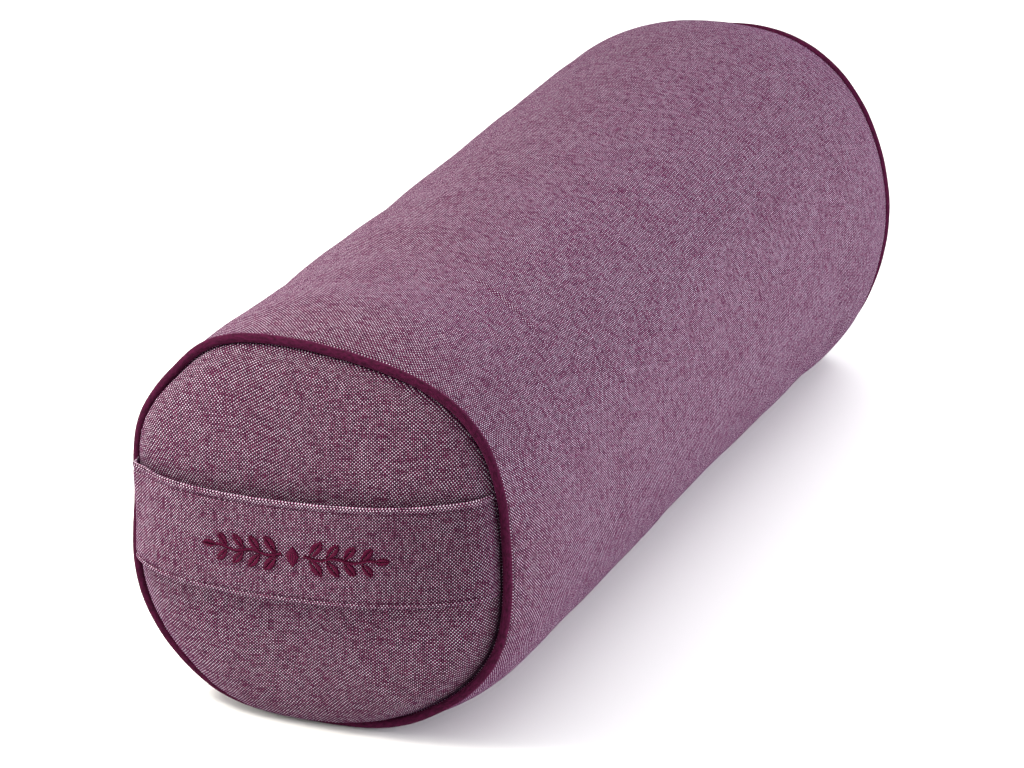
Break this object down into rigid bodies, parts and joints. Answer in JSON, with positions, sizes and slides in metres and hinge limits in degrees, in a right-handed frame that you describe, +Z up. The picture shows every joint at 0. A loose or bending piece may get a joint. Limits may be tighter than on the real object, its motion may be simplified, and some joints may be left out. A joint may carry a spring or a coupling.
{
  "type": "yoga bolster",
  "caption": "Firm round cushion lying on its side, with crowned end panels, dark piping in the end seams and a carrying band sewn across the near end.",
  "frame": {"origin": "on the surface it lies on, under the middle of the bounding box", "axes": "+Z up, the long axis along Y, the end with the carrying band facing -Y"},
  "size_m": [0.2316, 0.652, 0.218],
  "materials": {
    "canvas": "matt heathered plain weave",
    "piping": "fine smooth cloth over a cord"
  },
  "bodies": {
    "root": {"filled_body": "canvas", "near_cap": "canvas", "far_cap": "canvas", "near_piping": "piping", "far_piping": "piping", "handle_band": "canvas"}
  },
  "joints": []
}
